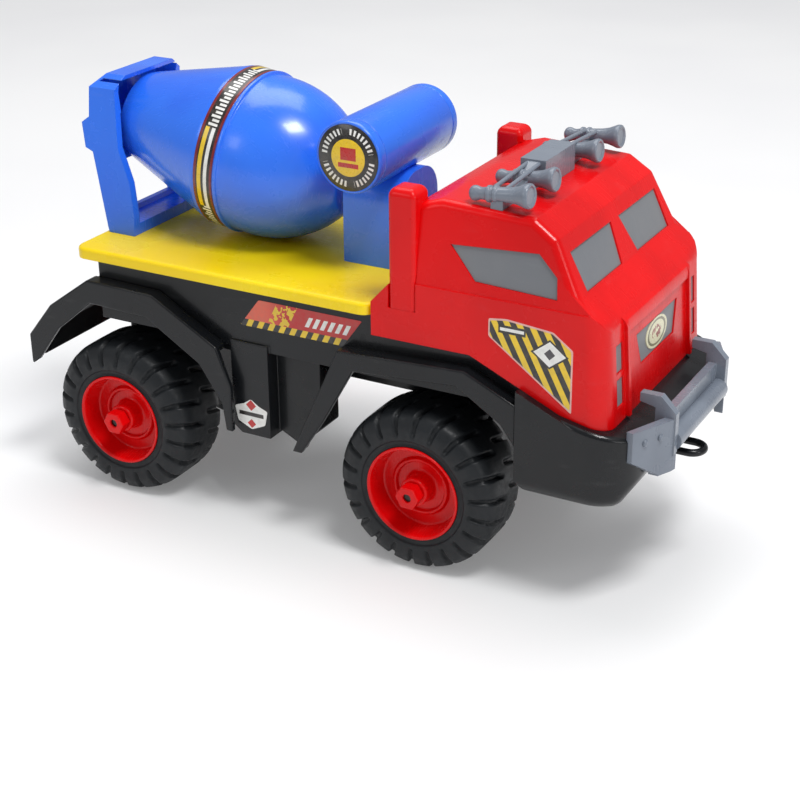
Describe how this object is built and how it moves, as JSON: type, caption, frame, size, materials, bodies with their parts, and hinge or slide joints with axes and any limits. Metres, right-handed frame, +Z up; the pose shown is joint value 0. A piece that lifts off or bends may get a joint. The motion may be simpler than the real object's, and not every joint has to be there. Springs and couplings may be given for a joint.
{
  "type": "toy cement mixer truck",
  "caption": "Plastic toy cement mixer truck with a rotating inclined drum on a flat deck, a cab, mudguards, a bumper and free-rolling wheels.",
  "frame": {"origin": "on the ground under the middle of the outer box", "axes": "+X to the front bumper, +Y to the left side, +Z up"},
  "size_m": [0.42, 0.1766, 0.2599],
  "materials": {
    "black_plastic": "satin moulded",
    "red_plastic": "glossy moulded",
    "blue_plastic": "glossy moulded",
    "yellow_plastic": "glossy moulded",
    "silver_plastic": "satin moulded, grey",
    "grey_insert": "flat grey",
    "label_film": null,
    "tyre": "matt moulded tyre",
    "steel": "bright drawn rod"
  },
  "bodies": {
    "chassis": {"chassis_tub": "black_plastic", "mudguard_rear_right": "black_plastic", "mudguard_rear_left": "black_plastic", "mudguard_front_right": "black_plastic", "mudguard_front_left": "black_plastic", "rear_apron": "black_plastic", "front_valance": "black_plastic", "tow_hook": "black_plastic", "deck": "yellow_plastic", "cab_shell": "red_plastic", "exhaust_stack_right": "red_plastic", "exhaust_stack_left": "red_plastic", "windscreen_right": "grey_insert", "windscreen_left": "grey_insert", "side_window_right": "grey_insert", "side_window_left": "grey_insert", "grille_panel": "grey_insert", "headlamp_lower_right": "grey_insert", "headlamp_lower_left": "grey_insert", "headlamp_upper_right": "grey_insert", "headlamp_upper_left": "grey_insert", "horn_rail": "silver_plastic", "air_horns": "silver_plastic", "front_bumper": "silver_plastic", "bumper_roll": "silver_plastic", "bumper_studs": "silver_plastic", "rear_axle": "steel", "front_axle": "steel", "wheel_nuts": "red_plastic", "drum_frame": "blue_plastic", "drum_pedestal": "blue_plastic", "water_tank": "blue_plastic", "tank_cap_right": "blue_plastic", "tank_cap_left": "blue_plastic", "deck_screws": "steel", "cab_screws": "steel", "mixer_screws": "steel"},
    "drum": {"drum_rear_shell": "blue_plastic", "drum_front_shell": "blue_plastic", "drum_band": "label_film", "drum_rear_pin": "steel", "drum_front_pin": "steel"},
    "wheel_rear_right": {"tyre_rear_right": "tyre", "rim_rear_right": "red_plastic"},
    "wheel_rear_left": {"tyre_rear_left": "tyre", "rim_rear_left": "red_plastic"},
    "wheel_front_right": {"tyre_front_right": "tyre", "rim_front_right": "red_plastic"},
    "wheel_front_left": {"tyre_front_left": "tyre", "rim_front_left": "red_plastic"}
  },
  "joints": [
    {"name": "drum_spin", "type": "hinge", "parent": "chassis", "child": "drum", "pos_m": [-0.0977, 0, 0.2109], "axis": [0.9882, 0, -0.153], "continuous": true},
    {"name": "wheel_rear_right_spin", "type": "hinge", "parent": "chassis", "child": "wheel_rear_right", "pos_m": [-0.142, -0.0595, 0.05], "axis": [0, 1, 0], "continuous": true},
    {"name": "wheel_rear_left_spin", "type": "hinge", "parent": "chassis", "child": "wheel_rear_left", "pos_m": [-0.142, 0.0595, 0.05], "axis": [0, 1, 0], "continuous": true},
    {"name": "wheel_front_right_spin", "type": "hinge", "parent": "chassis", "child": "wheel_front_right", "pos_m": [0.065, -0.0595, 0.05], "axis": [0, 1, 0], "continuous": true},
    {"name": "wheel_front_left_spin", "type": "hinge", "parent": "chassis", "child": "wheel_front_left", "pos_m": [0.065, 0.0595, 0.05], "axis": [0, 1, 0], "continuous": true}
  ]
}
